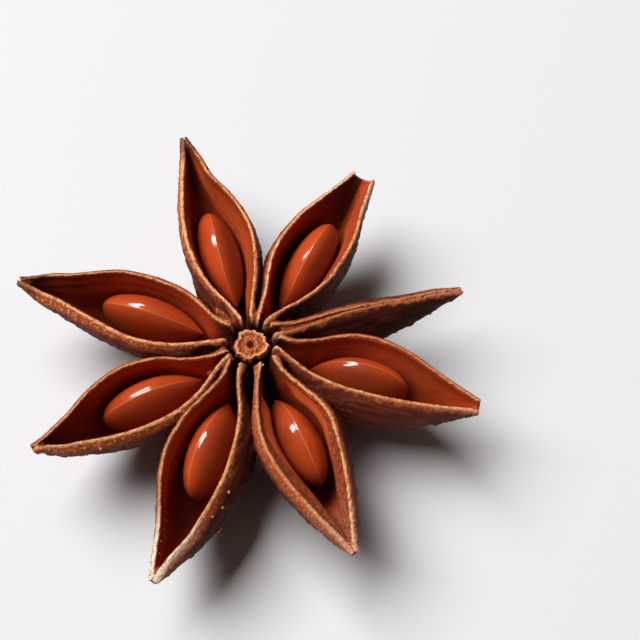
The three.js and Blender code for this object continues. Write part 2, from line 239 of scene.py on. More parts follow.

# The carpel that a seed lies in, its middle's distance from the column's axis, its shift to the
# left of the hollow's middle, its length and width, its roll and pitch in degrees, the depth of its
# top below the rims, how far round from that top its ridge line runs, in degrees at its middle and
# more towards its end, how much painted shade darkens its left side, or its right one below 0, and
# how far it is turned from the hollow's own direction, in degrees anticlockwise.
Seed = namedtuple(
    "Seed", "carpel at side length width roll pitch sink line twist flank yaw", defaults=[0]
)
SEEDS = [
    Seed(0, 8.7, 0.3, 8.4, 2.9, 13, 0, 0.7, -9, -13, -1),
    Seed(1, 8.5, 0.17, 8, 2.9, -13, 9, 0.65, 12, 6, -1),
    Seed(3, 7.7, 0.05, 7.3, 2.9, 15, 5, 0.6, 0, 0, -1),
    Seed(4, 7.1, -0.1, 7.4, 3, -6, 5, 0.7, 12, -6, -0.5),
    Seed(5, 7.5, -0.1, 7.5, 3.05, -14, 0, 0.6, -7, -8, 0.8),
    Seed(6, 7.5, -0.05, 7.5, 3, -2, -4, 0.6, 8, 0, 1, -3.5),
    Seed(7, 7.9, 0, 8, 3, 5, -4, 0.6, 9, 0, 1),
]

# Where crumbs lie: x, y, height and share of the crumb size.
CRUMBS = [
    (-2.92, -1.57, 5.08, 1), (-2.73, -1.47, 5.16, 0.6), (2.53, 2.58, 5.49, 0.9),
    (2.67, 2.73, 5.06, 0.5), (0.88, -1.85, 6.89, 0.5), (-0.25, -2.13, 6, 0.45),
    (-1.9, -13.21, 4.88, 0.75), (-1.8, -13.06, 4.87, 0.5), (-2.61, -14.15, 5.39, 0.6),
    (-2.18, -12.76, 6.26, 0.45), (-1.56, -12.07, 6.13, 0.4), (-1.19, -11.04, 6.23, 0.5),
    (-5.5, -14.38, 6.04, 0.35), (-5.39, -13.45, 5.94, 0.35), (-5.56, -15.16, 5.94, 0.4),
    (-5.31, -12.79, 5.68, 0.3), (5.51, -6.79, 6.32, 0.4), (-9.9, -7.89, 6.25, 0.45),
]
CRUMB_STRETCH = (0.55, 1)  # least and most share of a crumb's size on each of its axes

# ---- Grain ----

# Noises: how fine, unless a setting says it, how detailed, how rough, and how far along the fourth
# dimension. The husk's are counted by the millimetre, and the seeds' and the crumbs' by the metre.
FOLDS = (3, 0.55)
HUMPS = (0.45, 2, 0.5, 2)
GRAIN = (3, 0.65)
TEETH = (1.7, 3, 0.6, 4)
FLAKES = (0.75, 2, 0.6, 6)
FLAKE_EDGES = (2.2, 1, 0.5)
FIBRES = (2.8, 4, 0.62)
BLOTCHES = (0.7, 3, 0.55, 3)
SPECKS = (6.5, 3, 0.7, 5)
CLOTS = (1.5, 3, 0.6, 8)
FINE = (9, 3, 0.7, 7)
LUMPS = (520, 1.5, 0.5)
CLOUDS = (380, 3, 0.55)
FRECKLES = (2600, 2, 0.5, 4)
DENTS = (3000, 2, 0.6)
MOTTLES = (6000, 2, 0.6)

LONG_FOLDS = (0.2, 1, 1)  # how fine along, across and up, as shares
LONG_FIBRES = (0.1, 1, 1)
LONG_TEETH = (1, 0.4, 0.4)
HUMP_HEIGHT = 2.2  # share of the wrinkles' depth
DARKEST_LEFT = 0.12  # share of the outer colour that is left where it is darkest
RELIEF = 0.1  # depth of the materials' own finest relief
HUSK_MATERIAL = "Dried husk"
HUSK_SKIN = "Husk skin"
SEED_SHAPE = "Seed"

# ---- Fineness of the meshes ----

STATIONS = 280  # along a carpel
STATION_EASE = 0.06
WALL_STEPS = 48  # round the outside of half a section, and again round its inside
WALL_EASE = 1.3
LIP_STEPS = 22
BEAK_RINGS = 6  # that round off the walls' ends
BEAK_ROUND = 0.3  # radius of that rounding
LOOP_SMOOTHING = 3
COLUMN_SIDES = 144
COLUMN_STEPS = 12  # between two points of the column's profile
APART = 40  # between the places where two carpels draw their grain from
SEED_SEGMENTS = 160
SEED_RINGS = 96
CRUMB_FINENESS = 4  # subdivisions of each crumb

# ---- Floor, light and camera ----

FLOOR_REACH = 1.5  # metres from the pod to the floor's edge
ELEVATION = 60  # degrees from which the camera looks down
FRAME_PIXELS = 640
FOCAL_PIXELS = 1358.5  # focal length in pixels of that frame
HUB_PIXEL = (251.0, 344.5)  # where the column's top shows
SENSOR = 36  # width in millimetres
NEAREST = 20  # the first of this many parts of the camera's distance isn't drawn
LAMP_DISTANCE = 1.2  # metres from the pod to each light
KEY_FROM = (-0.48, 0.29, 0.83)  # direction from the pod to the broad light
KEY_SIZE = (1.0, 0.9)
GLINT_FROM = (-0.39, 0.55, 0.74)
GLINT_SIZE = (0.5, 0.24)


# ---- Settings ----

def length(label, text, default, highest=0.05):
    """A length setting in metres, whose default is given in millimetres."""
    return FloatProperty(
        name=label, description=text, default=default * MM, min=0, max=highest,
        precision=5, subtype="DISTANCE", unit="LENGTH",
    )


def colour(label, text, default):
    return FloatVectorProperty(
        name=label, description=text, default=default, size=3, min=0, max=1, subtype="COLOR",
    )


def share(label, text, default, highest=1):
    return FloatProperty(name=label, description=text, default=default, min=0, max=highest)


def power(label, text, default):
    return FloatProperty(
        name=label, description=text, default=default, min=0, subtype="POWER", unit="POWER"
    )


class HuskSettings(bpy.types.PropertyGroup):
    """Relief and colours of the woody husk."""

    wrinkle_depth: length("Wrinkle depth", "Depth of the lengthwise wrinkles outside", 0.1)
    wrinkle_spacing: length("Wrinkle spacing", "Distance from one wrinkle to the next", 0.7)
    grain_depth: length("Grain depth", "Depth of the rough grain on the torn bands", 0.04)
    grain_size: length("Grain size", "Size of the grain on the torn bands", 0.2)
    tooth_depth: length("Tooth depth", "Height of the ragged teeth on the crests", 0.22)
    flake_depth: length("Flake depth", "Height of the loose flakes outside", 0.07)
    outer: colour("Outer walls", "Colour of the walls' outside", (0.19, 0.033, 0.019))
    outer_pale: colour("Outer streaks", "Colour of the paler streaks outside", (0.31, 0.064, 0.034))
    hollow: colour("Hollows", "Colour of the satin walls inside", (0.52, 0.078, 0.021))
    lip: colour("Lips", "Colour of the torn bands under the lips", (0.44, 0.088, 0.027))
    # The crests' colour is a pale torn edge, lightened further as a painted highlight.
    crest: colour("Crests", "Colour of the lips' thin crests", (1, 0.51, 0.22))
    # Colour of the painted shade in the darkest parts of the hollows.
    shade_colour: colour("Painted shade", "Colour of the hollows where they are darkest", (0.07, 0.02, 0.014))
    cream: colour("Pale beaks", "Colour of the bleached beaks", (1, 0.84, 0.62))


class SeedSettings(bpy.types.PropertyGroup):
    """Shape and colours of the seeds."""

    height: length("Seed height", "Height of a seed through its ridge", SEED_HEIGHT)
    ridge_line: length("Ridge line", "Height of the fine line along the ridge", 0.025)
    lumps: length("Lumps", "Depth of the gentle lumps on a seed", 0.035)
    coat: colour("Seed coat", "Colour of the glossy coat", (0.58, 0.072, 0.014))
    # The ridge line's lighter colour is a painted highlight.
    ridge: colour("Ridge", "Colour of the line along the ridge", (0.85, 0.25, 0.07))
    roughness: share("Roughness", "Roughness of the gloss", 0.1)


class CrumbSettings(bpy.types.PropertyGroup):
    """Crumbs and torn flakes of husk that lie on the pod."""

    size: length("Crumb size", "Across a crumb whose share of the size is 1", 0.5)
    unevenness: share("Unevenness", "Depth of a crumb's dents, as a share of the crumb size", 0.6)
    colour: colour("Colour", "Colour of the crumbs", (0.68, 0.28, 0.18))
    seed: IntProperty(name="Seed", description="Start of the random draws", default=7, min=0)


class StageSettings(bpy.types.PropertyGroup):
    """Floor, light and camera."""

    floor: colour("Floor", "Colour of the floor", (0.83, 0.83, 0.845))
    key_power: power("Key light", "Power of the broad soft light above the pod", 20.9)
    glint_power: power("Glint light", "Power of the small light that shines in the seeds", 8)
    sky: share("Sky", "Strength of the even light all round", 0.055, 5)
    sky_colour: colour("Sky colour", "Colour of the even light all round", (1, 0.75, 0.66))
    distance: length("Camera distance", "From the camera to the column, along the view", 95, 1)


# ---- Numbers ----

def smooth(low, high, x):
    t = np.clip((x - low) / (high - low), 0, 1)
    return t * t * (3 - 2 * t)


def bump(centre, width, x):
    return np.exp(-(((x - centre) / width) ** 2))


def turned_about(points, degrees):
    """Points turned anticlockwise about the column's axis."""
    c, s = math.cos(math.radians(degrees)), math.sin(math.radians(degrees))
    return points @ np.array([[c, s, 0], [-s, c, 0], [0, 0, 1]])


# ---- Carpels ----

def width_share(carpel, s):
    """0 at the column, 1 where the carpel is widest, 0 at the beak."""
    rising = np.sin(math.pi / 2 * np.minimum(s / carpel.peak, 1)) ** RISE_POWER
    past = np.clip((s - carpel.peak) / (1 - carpel.peak), 0, 1)
    return np.where(s < carpel.peak, rising, (1 - past**TAPER_DELAY) ** TAPER_POWER)


def through(values, s):
    """A smooth curve through values at equal steps of s from 0 to 1."""
    last = len(values) - 1
    v = np.array([values[0], *values, values[-1]])
    at = np.clip(s, 0, 1) * last
    i = np.minimum(at.astype(int), last - 1)
    t = at - i
    a, b, c, d = v[i], v[i + 1], v[i + 2], v[i + 3]
    return b + t * (c - a + t * (2 * a - 5 * b + 4 * c - d + t * (3 * (b - c) + d - a))) / 2


def sizes_at(carpel, along):
    """The sizes of a carpel's section at distances from the column's axis, in millimetres."""
    s = np.clip((along - RIM_START) / (carpel.length - RIM_START), 0, 1)
    wide = width_share(carpel, s)
    neck = NECK_HALF_WIDTH * (1 - s) ** NECK_POWER
    half = carpel.half * wide + neck + carpel.gape * s * s
    heel = 1 - HEEL_SHARE * (1 - s) ** HEEL_POWER
    keel = (1 - s**KEEL_POWER) ** KEEL_ROUND
    end = np.clip((KNUCKLE_AT + KNUCKLE_ROUND / 2 - along) / KNUCKLE_ROUND, 0, 1)
    depth = carpel.deep * (BEAK_DEPTH + (KEEL_DEPTH - BEAK_DEPTH) * keel) * heel
    opened = RIM_START + HOLLOW_START
    deepening = smooth(opened, opened + HOLLOW_RUN, along)
    room = np.maximum(depth - FLOOR - HOLLOW_END, 0)
    closing = smooth(carpel.close - HOLLOW_RISE, carpel.close, s)
    return SimpleNamespace(
        s=s,
        half=half,
        middle=carpel.bend * (2 * s * s - s) + carpel.lean * wide,
        rim=carpel.lift * s**BEAK_POWER + RIM_CREST * 4 * s * (1 - s)
        + KNUCKLE_RISE * (1 - smooth(0, KNUCKLE_RUN, s))
        - GROOVE_DEPTH * (1 - np.sqrt(1 - end * end)),
        depth=depth,
        swing=carpel.swing * wide / KEEL_DEPTH,
        belly=carpel.belly * smooth(0, BULGE_RUN, s) * (1 - s**BEAK_POWER),
        shut=carpel.shut * wide,
        hollow=(HOLLOW_END + room * deepening * (1 - (1 - HOLLOW_GROOVE) * closing))
        * (1 - SEAL_SHARE * smooth(carpel.seal, carpel.seal + SEAL_RUN, s)),
    )


def half_section(z, half, lip):
    """Points (sideways, up) of half the section at each station, from the keel up the outside, over
    the lip and down the inside."""
    angle = math.pi / 2 * np.linspace(0, 1, WALL_STEPS)[None, :] ** WALL_EASE
    down = np.sin(angle)
    side = np.cos(angle)
    swell = np.sin(math.pi * down**BULGE_POWER)
    thick = np.clip(half / (LIP_IN + LIP_OUT), 0, 1)
    brim = LIP_OUT * (BRIM + KNUCKLE_SWELL * bump(0, KNUCKLE_REACH, z.s))
    bulge = z.belly * lip.bulge + z.shut
    foot = lip.foot * bump(*FOOT_SPREAD, z.s)
    shoulder = lip.shoulder * smooth(0, SHOULDER_RISE, down) * (1 - smooth(*SHOULDER_FALL, down))
    shoulder = shoulder * smooth(*SHOULDER_START, z.s)
    shoulder = shoulder * (1 - SHOULDER_LOSS * smooth(*SHOULDER_END, z.s))
    outer_drop = LIP_OUT_DROP * thick
    outside = np.stack(
        [
            (half + brim) * side**WALL_POWER + (bulge + foot) * swell + shoulder,
            z.rim - outer_drop - (z.depth - outer_drop) * down,
        ],
        axis=-1,
    )
    inner_drop = LIP_IN_DROP * thick
    below = z.hollow * down
    ledge = smooth(0, LEDGE_AT, below) * (1 - smooth(LEDGE_AT, LEDGE_AT + LEDGE_UNDERCUT, below))
    step = lip.ledge * ledge * smooth(*LEDGE_START, z.s)
    step = step + lip.slant * smooth(0, SLANT_DEPTH, below) * smooth(0, SLANT_START, z.s)
    room = np.maximum(half - LIP_IN * thick, 0)
    inside = np.stack(
        [
            room * side + HOLLOW_BULGE * np.maximum(bulge - WALL, 0) * swell
            - np.minimum(step, room / 2) * side**SLANT_POWER,
            z.rim - inner_drop - below,
        ],
        axis=-1,
    )
    crest = np.stack([half, z.rim], axis=-1)
    outer, inner = outside[:, :1], inside[:, :1]
    pull = 2 * crest - (outer + inner) / 2
    t = np.linspace(0, 1, LIP_STEPS + 2)[1:-1][None, :, None]
    over = (1 - t) ** 2 * outer + 2 * t * (1 - t) * pull + t**2 * inner
    return np.concatenate([outside[:, ::-1], over, inside], axis=1)


def carpel_rings(carpel, lips):
    """A carpel's rings of points (along, sideways, up), from the column outwards."""
    t = np.linspace(0, 1, STATIONS)
    eased = t - STATION_EASE * np.sin(2 * math.pi * t)
    along = (BODY_START + (carpel.length - BODY_START) * eased)[:, None]
    z = sizes_at(carpel, along)
    left_wander, right_wander = (through(lip.wander, z.s) for lip in lips)
    half = np.maximum(z.half + (left_wander - right_wander) / 2, LEAST_HALF)
    left, right = (half_section(z, half, lip) for lip in lips)
    loop = np.concatenate([left, right[:, ::-1][:, 1:-1] * (-1, 1)], axis=1)
    for _ in range(LOOP_SMOOTHING):
        loop = (np.roll(loop, 1, axis=1) + 2 * loop + np.roll(loop, -1, axis=1)) / 4
    below = z.rim - loop[..., 1]
    wander = (left_wander + right_wander) / 2 * np.clip(1 - below / z.depth, 0, 1)
    sideways = z.middle + loop[..., 0] + z.swing * below + wander
    rings = np.stack(
        [np.broadcast_to(along, sideways.shape), sideways, HUB_HEIGHT + loop[..., 1]], axis=-1
    )
    return np.concatenate([rings, rounded_beak(rings[-1])])


def chains(count):
    """A ring's points in two chains, each from one end of the ring to the other."""
    half = count // 2 + 1
    return np.arange(half), np.concatenate([[half - 1], np.arange(half, count), [0]])


def opposite(count):
    """For each point of a ring, the one across the wall from it."""
    across = np.zeros(count, int)
    for chain in chains(count):
        across[chain] = chain[::-1]
    return across


def rounded_beak(ring):
    """Rings that carry a wall's end on in a half round."""
    middle = (ring + ring[opposite(len(ring))]) / 2
    turns = np.linspace(0, math.pi / 2, BEAK_RINGS + 2)[1:-1, None, None]
    return middle + (ring - middle) * np.cos(turns) + np.array([BEAK_ROUND, 0, 0]) * np.sin(turns)


def distance_from_crest(rings):
    """Distance along the section from the crest of the nearer lip, positive outside."""
    count = rings.shape[1]
    half = count // 2 + 1
    steps = np.linalg.norm(np.roll(rings, -1, axis=1) - rings, axis=-1)
    run = np.cumsum(steps, axis=1) - steps
    crest = WALL_STEPS + LIP_STEPS // 2
    left = run[:, crest : crest + 1] - run
    right = run - run[:, count - crest : count - crest + 1]
    return np.where(np.arange(count) < half, left, right)


def new_piece(name, points=(), faces=()):
    """A smooth-shaded piece in the scene, from points in millimetres."""
    mesh = bpy.data.meshes.new(name)
    mesh.from_pydata((np.reshape(points, (-1, 3)) * MM).tolist(), [], faces, shade_flat=False)
    piece = bpy.data.objects.new(name, mesh)
    bpy.context.collection.objects.link(piece)
    return piece


def store(piece, **fields):
    """Stores named values on a piece's points: a number for each or for all, or "local" vectors."""
    for name, values in fields.items():
        vectors = name == "local"
        kind, field = ("FLOAT_VECTOR", "vector") if vectors else ("FLOAT", "value")
        width = 3 if vectors else 1
        flat = np.zeros(width * len(piece.data.vertices)) + np.ravel(values)
        layer = piece.data.attributes.new(name, kind, "POINT")
        layer.data.foreach_set(field, flat.astype(np.float32))


def ring_faces(rows, count):
    """The points' numbers, ring by ring, and the faces between each ring and the next."""
    index = np.arange(rows * count).reshape(rows, count)
    ahead = np.roll(index, -1, axis=1)
    faces = np.stack([index[:-1], ahead[:-1], ahead[1:], index[1:]], axis=-1)
    return index, faces.reshape(-1, 4)


def carpel_piece(number):
    """A carpel's closed surface, with what its skin and colours are drawn from at each point."""
    carpel, lips = CARPELS[number], LIPS[2 * number : 2 * number + 2]
    rings = carpel_rings(carpel, lips)
    rows, count = rings.shape[:2]
    index, walls = ring_faces(rows, count)
    half = count // 2 + 1
    lids = []
    for chain in chains(count):
        ladder = np.stack([chain[:-1], chain[1:], chain[::-1][1:], chain[::-1][:-1]], axis=-1)
        lids.append(ladder[: (half - 1) // 2])
    lid = np.concatenate(lids)
    faces = np.concatenate([walls, lid[:, ::-1], lid + index[-1, 0]]).tolist()
    points = turned_about(rings.reshape(-1, 3), carpel.azimuth)
    piece = new_piece(f"carpel_{number + 1}", points, faces)

    def own(value):
        """What value gives for the lip on each point's own side."""
        return np.where(np.arange(count) < half, *map(value, lips))

    s = (rings[..., 0] - RIM_START) / (carpel.length - RIM_START)
    from_crest = distance_from_crest(rings)
    torn = PATCH * bump(*PATCH_SPREAD, s) * smooth(*PATCH_BELOW, from_crest)
    knuckle = KNUCKLE_LIGHT * (1 - smooth(*KNUCKLE_END, s))
    tip = -min(carpel.pale, 0) * smooth(*DARK_FROM, s)
    # Painted shade in the hollow, at its far end and round the seed's outer end, less on walls that
    # slant into the light.
    deep = DEEP_PAINTED_SHADE * smooth(*DEEP_BELOW, -from_crest) * bump(*DEEP_SPREAD, s)
    far = np.maximum(carpel.gloom * smooth(*PAINTED_SHADE_FROM, s), deep)
    far = far * own(lambda lip: 1 - min(lip.slant / LIT_SLANT, 1))
    store(
        piece,
        band=own(lambda lip: through(lip.band, s) + lip.foot * torn),
        light=own(lambda lip: np.maximum(lip.light, knuckle)),
        lining=own(lambda lip: through(lip.lining, s)),
        from_crest=from_crest,
        local=rings + (0, 0, APART * (number + 1)),
        bleached=max(carpel.pale, 0) * smooth(*PALE_FROM, s),
        # Partly painted shade on a carpel turned from the light, and the dark tip.
        darkness=np.maximum(carpel.dark, tip),
        gloom=np.maximum(far, NECK_PAINTED_SHADE * (1 - smooth(*NECK_END, s))),
        # Painted shade where the carpel's end falls into the gap round the column, and the dark
        # tip.
        sunk=np.maximum(1 - smooth(*SUNK_ALONG, rings[..., 0]), TIP_SUNK * tip),
    )
    return piece


# ---- Column and stalk scar ----

def turned_piece(name, profile, waves):
    """A closed surface turned about the column's axis from points (radius, height, distance that
    its skin counts from a crest), whose radius waves in and out by (count, share, phase)."""
    fine = []
    for start, end in zip(profile, profile[1:]):
        for t in np.linspace(0, 1, COLUMN_STEPS, endpoint=False):
            fine.append(np.array(start) * (1 - t) + np.array(end) * t)
    fine = np.array([*fine, profile[-1]])
    angle = np.linspace(0, 2 * math.pi, COLUMN_SIDES, endpoint=False)
    waved = 1 + sum(part * np.cos(count * angle + phase) for count, part, phase in waves)
    radius, height, crest = (fine[:, k, None] * np.ones(COLUMN_SIDES) for k in range(3))
    across = radius * waved
    rings = np.stack([across * np.cos(angle), across * np.sin(angle), height], axis=-1)
    index, walls = ring_faces(len(fine), COLUMN_SIDES)
    bottom, top = index.size, index.size + 1
    fans = [(bottom, b, a) for a, b in zip(index[0], np.roll(index[0], -1))]
    fans += [(top, a, b) for a, b in zip(index[-1], np.roll(index[-1], -1))]
    points = np.concatenate([rings.reshape(-1, 3), [(0, 0, fine[0][1]), (0, 0, fine[-1][1])]])
    piece = new_piece(name, points, walls.tolist() + fans)
    from_crest = np.concatenate([crest.ravel(), fine[[0, -1], 2]])
    # Painted shade down the column's side, which also darkens the bottom of its pit.
    sunk = smooth(*SUNK_BELOW, from_crest)
    store(piece, band=COLUMN_BAND, from_crest=from_crest, local=points, bleached=0, darkness=0)
    store(piece, light=COLUMN_LIGHT, lining=0, gloom=0, sunk=sunk)
    return piece


# ---- Node trees ----

class Field:
    """A node's output. Arithmetic with it adds further nodes to its tree."""

    def __init__(self, tree, socket):
        self.tree = tree
        self.socket = socket

    def __abs__(self):
        return calc("ABSOLUTE", self)


SIGNS = {"add": "ADD", "sub": "SUBTRACT", "mul": "MULTIPLY", "truediv": "DIVIDE"}
for sign, operation in SIGNS.items():
    setattr(Field, f"__{sign}__", lambda self, other, how=operation: calc(how, self, other))
    setattr(Field, f"__r{sign}__", lambda self, other, how=operation: calc(how, other, self))


def feed(node, inputs):
    """Sets a node's inputs, by name or number, to values or Fields."""
    for key, value in dict(inputs).items():
        if isinstance(value, Field):
            value.tree.links.new(value.socket, node.inputs[key])
        else:
            node.inputs[key].default_value = value


def put(tree, kind, inputs=(), output=0, **settings):
    """Adds a node with its settings and inputs, and gives one of its outputs."""
    node = tree.nodes.new(kind)
    for key, value in settings.items():
        setattr(node, key, value)
    feed(node, inputs)
    return Field(tree, node.outputs[output])


def calc(operation, *values):
    tree = next(value.tree for value in values if isinstance(value, Field))
    return put(tree, "ShaderNodeMath", enumerate(values), operation=operation)


def stretched(vector, shares):
    """A vector whose axes are each multiplied by a share of their own."""
    return put(vector.tree, "ShaderNodeVectorMath", {0: vector, 1: shares}, operation="MULTIPLY")


def scaled(vector, factor):
    inputs = {0: vector, "Scale": factor}
    return put(vector.tree, "ShaderNodeVectorMath", inputs, operation="SCALE")


def axes(vector):
    """A vector's x, y and z."""
    node = put(vector.tree, "ShaderNodeSeparateXYZ", {0: vector}).socket.node
    return [Field(vector.tree, socket) for socket in node.outputs]


def remap(value, low, high, to_low=0, to_high=1, kind="SMOOTHSTEP"):
    inputs = {0: value, 1: low, 2: high, 3: to_low, 4: to_high}
    return put(value.tree, "ShaderNodeMapRange", inputs, interpolation_type=kind)


def noise(vector, scale, detail, roughness, w=0):
    inputs = {"Vector": vector, "Scale": scale, "Detail": detail, "Roughness": roughness, "W": w}
    return put(vector.tree, "ShaderNodeTexNoise", inputs, noise_dimensions="4D")


def named(tree, name, kind="FLOAT"):
    return put(tree, "GeometryNodeInputNamedAttribute", {"Name": name}, data_type=kind)


def place_in(tree):
    return put(tree, "GeometryNodeInputPosition")


def moved(geometry, **inputs):
    """A geometry whose points are moved by an Offset or to a Position."""
    return put(geometry.tree, "GeometryNodeSetPosition", {"Geometry": geometry, **inputs})


def raised(geometry, height):
    """A smooth-shaded geometry whose points are moved along its normals."""
    offset = scaled(put(geometry.tree, "GeometryNodeInputNormal"), height)
    inputs = {"Geometry": moved(geometry, Offset=offset)}
    return put(geometry.tree, "GeometryNodeSetShadeSmooth", inputs)


def new_tree(name, sizes):
    """A geometry tree, and its inputs by name: the mesh, and numbers with their defaults."""
    tree = bpy.data.node_groups.new(name, "GeometryNodeTree")
    for way in ("OUTPUT", "INPUT"):
        tree.interface.new_socket("Geometry", in_out=way, socket_type="NodeSocketGeometry")
    for label, default in sizes.items():
        kind = "NodeSocketInt" if isinstance(default, int) else "NodeSocketFloat"
        tree.interface.new_socket(label, in_out="INPUT", socket_type=kind).default_value = default
    group = tree.nodes.new("NodeGroupInput")
    return tree, {socket.name: Field(tree, socket) for socket in group.outputs}


def finish_tree(geometry, material):
    """Ends a tree in Realize Instances and Set Material."""
    tree = geometry.tree
    real = put(tree, "GeometryNodeRealizeInstances", {"Geometry": geometry})
    made = put(tree, "GeometryNodeSetMaterial", {"Geometry": real, "Material": material})
    feed(tree.nodes.new("NodeGroupOutput"), {0: made})
    return tree


def run_tree(piece, tree, values):
    """Gives a piece the mesh that a tree makes of it."""
    modifier = piece.modifiers.new(tree.name, "NODES")
    modifier.node_group = tree
    for item in tree.interface.items_tree:
        if item.in_out == "INPUT" and item.name in values:
            modifier[item.identifier] = values[item.name]
    graph = bpy.context.evaluated_depsgraph_get()
    mesh = bpy.data.meshes.new_from_object(
        piece.evaluated_get(graph), preserve_all_data_layers=True, depsgraph=graph
    )
    piece.modifiers.remove(modifier)
    mesh.name = piece.name
    piece.data = mesh


def husk_skin_tree(material, sizes):
    """Wrinkles and flakes along the outside, teeth on the crests, a rough grain on the torn bands,
    and flats where the pod rests."""
    tree, inputs = new_tree(HUSK_SKIN, sizes)
    crest, band = named(tree, "from_crest"), named(tree, "band")
    local = named(tree, "local", "FLOAT_VECTOR")
    long = stretched(local, LONG_FOLDS)
    outside = remap(crest, 0.3, 1.5)
    torn = remap(crest / band, 0.9, 1.7, 1, 0) * remap(crest, -0.25, 0)
    on_crest = remap(crest, -0.35, 0) * remap(crest, 0.15, 0.6, 1, 0)

    folds = abs(noise(long, MM / inputs["Wrinkle Spacing"], *FOLDS) - 0.5)
    folds = remap(folds, 0, 0.2, -1, 0.4, "LINEAR") + (noise(local, *HUMPS) - 0.5) * HUMP_HEIGHT
    folds = folds * inputs["Wrinkle Depth"] * (outside * 0.92 + 0.08)

    grain = remap(noise(local, MM / inputs["Grain Size"], *GRAIN), 0.32, 0.68, -1, 1, "LINEAR")
    grain = grain * inputs["Grain Depth"] * calc("MINIMUM", torn * 0.9 + 0.04 + outside, 1)

    teeth = (noise(stretched(local, LONG_TEETH), *TEETH) - 0.5) * inputs["Tooth Depth"] * on_crest

    flakes = remap(noise(local, *FLAKES), 0.56, 0.6) * remap(noise(long, *FLAKE_EDGES), 0.35, 0.45)
    flakes = flakes * outside * inputs["Flake Depth"]

    offset = scaled(put(tree, "GeometryNodeInputNormal"), folds + grain + flakes)
    lifted = put(tree, "ShaderNodeCombineXYZ", {2: teeth})
    offset = put(tree, "ShaderNodeVectorMath", {0: offset, 1: lifted}, operation="ADD")
    grown = moved(inputs["Geometry"], Offset=offset)
    x, y, z = axes(place_in(tree))
    rested = put(tree, "ShaderNodeCombineXYZ", {0: x, 1: y, 2: calc("MAXIMUM", z, 0)})
    return finish_tree(moved(grown, Position=rested), material)


def seed_tree(material, sizes):
    """A flattened egg, pointed at one end, with a slight crease and a fine line along its ridge."""
    tree, inputs = new_tree(SEED_SHAPE, sizes)
    fineness = {"Segments": SEED_SEGMENTS, "Rings": SEED_RINGS, "Radius": 1}
    geometry = put(tree, "GeometryNodeMeshUVSphere", fineness)
    place = place_in(tree)
    side, up, x = axes(place)
    squared = calc("MAXIMUM", 1 - x * x, 0)
    radius = calc("SQRT", squared)
    side, up = side / radius, up / radius
    girth = calc("POWER", squared, (1 - x) * SEED_POINT + SEED_BLUNT) * (x * SEED_SWELL + 1)

    turn = x * inputs["Line Twist"] + inputs["Line Turn"]
    cosine, sine = calc("COSINE", turn), calc("SINE", turn)
    off_line = side * cosine - up * sine
    facing = calc("GREATER_THAN", up * cosine + side * sine, 0)
    # Painted shade: the side turned from the light and the underside are stored darker, for the
    # coat's colour.
    flank = off_line * inputs["Painted Flank Shade"]
    flank = remap(flank, -0.02, 0.06, 0, 0.35) + remap(flank, 0, 0.7, 0, 0.65)
    flank = calc("MAXIMUM", flank, remap(up, 0.6, 0, 0, 0.75))
    away = 1 - abs(off_line)
    ridge = remap(abs(off_line), 0.015, 0.06, 1, 0) * facing
    line = inputs["Ridge Line"] / inputs["Height"] * 2 * ridge
    girth = girth * (away * away * SEED_RIDGE * facing + 1 + line)

    for name, value in (("ridge", ridge), ("flank", flank)):
        stored = {"Geometry": geometry, "Name": name, "Value": value}
        geometry = put(
            tree, "GeometryNodeStoreNamedAttribute", stored, data_type="FLOAT", domain="POINT"
        )
    halves = [inputs[name] * 0.5 for name in ("Length", "Width", "Height")]
    shape = zip((x, side * girth, up * girth), halves)
    shape = enumerate(part * half for part, half in shape)
    egg = moved(geometry, Position=put(tree, "ShaderNodeCombineXYZ", shape))
    lumps = (noise(place, *LUMPS, inputs["Seed"]) - 0.5) * inputs["Lumps"]
    return finish_tree(raised(egg, lumps), material)


def crumb_tree(material, sizes):
    """Dented grains, one on each point, turned and stretched at random."""
    tree, inputs = new_tree("Crumbs", sizes)

    def draw(low, high, salt):
        ends = {0: (low,) * 3, 1: (high,) * 3, "Seed": inputs["Seed"] + salt}
        return put(tree, "FunctionNodeRandomValue", ends, data_type="FLOAT_VECTOR")

    fineness = {"Radius": 0.5, "Subdivisions": CRUMB_FINENESS}
    grains = {
        "Points": inputs["Geometry"],
        "Instance": put(tree, "GeometryNodeMeshIcoSphere", fineness),
        "Rotation": put(tree, "FunctionNodeEulerToRotation", {0: draw(0, 2 * math.pi, 0)}),
        "Scale": scaled(draw(*CRUMB_STRETCH, 1), named(tree, "share") * inputs["Size"]),
    }
    grains = put(tree, "GeometryNodeInstanceOnPoints", grains)
    grains = put(tree, "GeometryNodeRealizeInstances", {"Geometry": grains})
    dents = (noise(place_in(tree), *DENTS) - 0.5) * (inputs["Size"] * inputs["Unevenness"])
    return finish_tree(raised(grains, dents), material)


# ---- Materials ----

def new_material(name):
    material = bpy.data.materials.new(name)
    material.use_nodes = True
    tree = material.node_tree
    return material, tree, tree.nodes["Principled BSDF"]


def blend(factor, a, b):
    """A mix of two colours, each a Field or three numbers."""
    a, b = (value if isinstance(value, Field) else (*value, 1) for value in (a, b))
    return put(factor.tree, "ShaderNodeMix", {0: factor, 6: a, 7: b}, 2, data_type="RGBA")


def shaded(colour, part):
    return tuple(part * channel for channel in colour)


def attribute(tree, name, output="Fac"):
    return put(tree, "ShaderNodeAttribute", output=output, attribute_name=name)


def relief_normal(height, strength):
    inputs = {"Height": height, "Strength": strength, "Distance": RELIEF * MM}
    return put(height.tree, "ShaderNodeBump", inputs)


